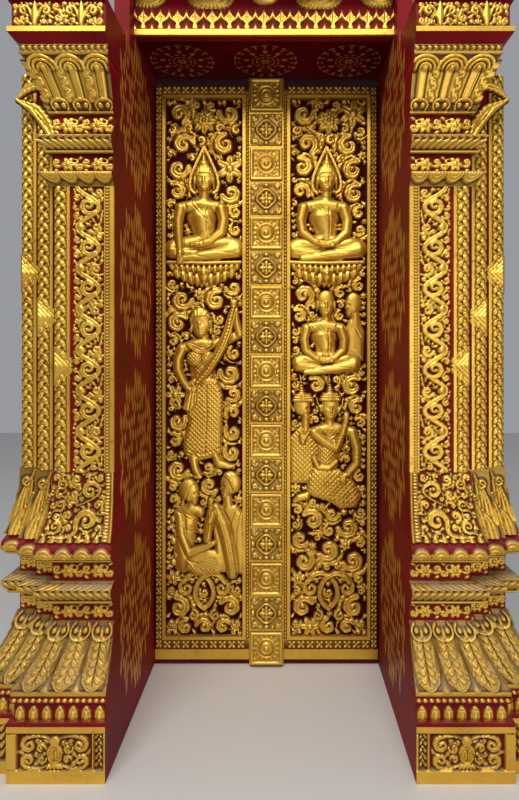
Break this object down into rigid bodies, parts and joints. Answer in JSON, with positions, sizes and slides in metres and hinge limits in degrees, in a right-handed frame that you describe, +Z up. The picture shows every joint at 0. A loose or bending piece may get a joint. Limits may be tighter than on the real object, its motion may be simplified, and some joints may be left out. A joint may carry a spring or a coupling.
{
  "type": "carved temple door",
  "caption": "Gilded double door of pierced carving on red lacquer, hung on pivots in a deep red reveal between stepped pilasters with leaf, petal and braid mouldings.",
  "frame": {"origin": "on the floor, in the middle of the whole width and depth", "axes": "+Z up, the carved side faces -Y, the leaves open towards +Y"},
  "size_m": [2.054, 0.89, 2.96],
  "materials": {
    "gold_leaf": "gilded",
    "red_lacquer": "satin lacquer",
    "iron": "worn"
  },
  "bodies": {
    "portal": {"fascia_board": "red_lacquer", "head_beam": "red_lacquer", "left_bud_band": "red_lacquer", "left_buds": "gold_leaf", "left_capital_bell": "gold_leaf", "left_capital_crown": "red_lacquer", "left_entablature_block": "red_lacquer", "left_entablature_scrolls": "gold_leaf", "left_jamb": "red_lacquer", "left_leaf_skirt": "gold_leaf", "left_lower_chevron_moulding": "gold_leaf", "left_lower_petal_moulding": "gold_leaf", "left_neck_flowers": "gold_leaf", "left_plinth": "gold_leaf", "left_plinth_scrolls": "gold_leaf", "left_shaft": "red_lacquer", "left_shaft_braids": "gold_leaf", "left_shaft_edge_band": "gold_leaf", "left_shaft_foot_leaves": "gold_leaf", "left_shaft_scrolls": "gold_leaf", "left_upper_chevron_moulding": "gold_leaf", "left_upper_petal_moulding": "gold_leaf", "left_waist": "red_lacquer", "left_waist_flowers": "gold_leaf", "pivot_shoes": "iron", "right_bud_band": "red_lacquer", "right_buds": "gold_leaf", "right_capital_bell": "gold_leaf", "right_capital_crown": "red_lacquer", "right_entablature_block": "red_lacquer", "right_entablature_scrolls": "gold_leaf", "right_jamb": "red_lacquer", "right_leaf_skirt": "gold_leaf", "right_lower_chevron_moulding": "gold_leaf", "right_lower_petal_moulding": "gold_leaf", "right_neck_flowers": "gold_leaf", "right_plinth": "gold_leaf", "right_plinth_scrolls": "gold_leaf", "right_shaft": "red_lacquer", "right_shaft_braids": "gold_leaf", "right_shaft_edge_band": "gold_leaf", "right_shaft_foot_leaves": "gold_leaf", "right_shaft_scrolls": "gold_leaf", "right_upper_chevron_moulding": "gold_leaf", "right_upper_petal_moulding": "gold_leaf", "right_waist": "red_lacquer", "right_waist_flowers": "gold_leaf", "soffit_board": "red_lacquer", "spike_band": "gold_leaf", "threshold": "red_lacquer", "top_board": "red_lacquer"},
    "left_leaf": {"left_leaf_board": "red_lacquer", "left_leaf_border": "gold_leaf", "left_leaf_carving": "gold_leaf"},
    "right_leaf": {"right_leaf_board": "red_lacquer", "right_leaf_border": "gold_leaf", "right_leaf_carving": "gold_leaf", "cover_strip": "gold_leaf"}
  },
  "joints": [
    {"name": "left_leaf_swing", "type": "hinge", "parent": "portal", "child": "left_leaf", "pos_m": [-0.545, 0.388, 0], "axis": [0, 0, 1], "range_deg": [0, 120]},
    {"name": "right_leaf_swing", "type": "hinge", "parent": "portal", "child": "right_leaf", "pos_m": [0.545, 0.388, 0], "axis": [0, 0, -1], "range_deg": [0, 86.4]}
  ],
  "couplings": [
    {"joint": "right_leaf_swing", "follows": "left_leaf_swing", "ratio": 0.72}
  ]
}
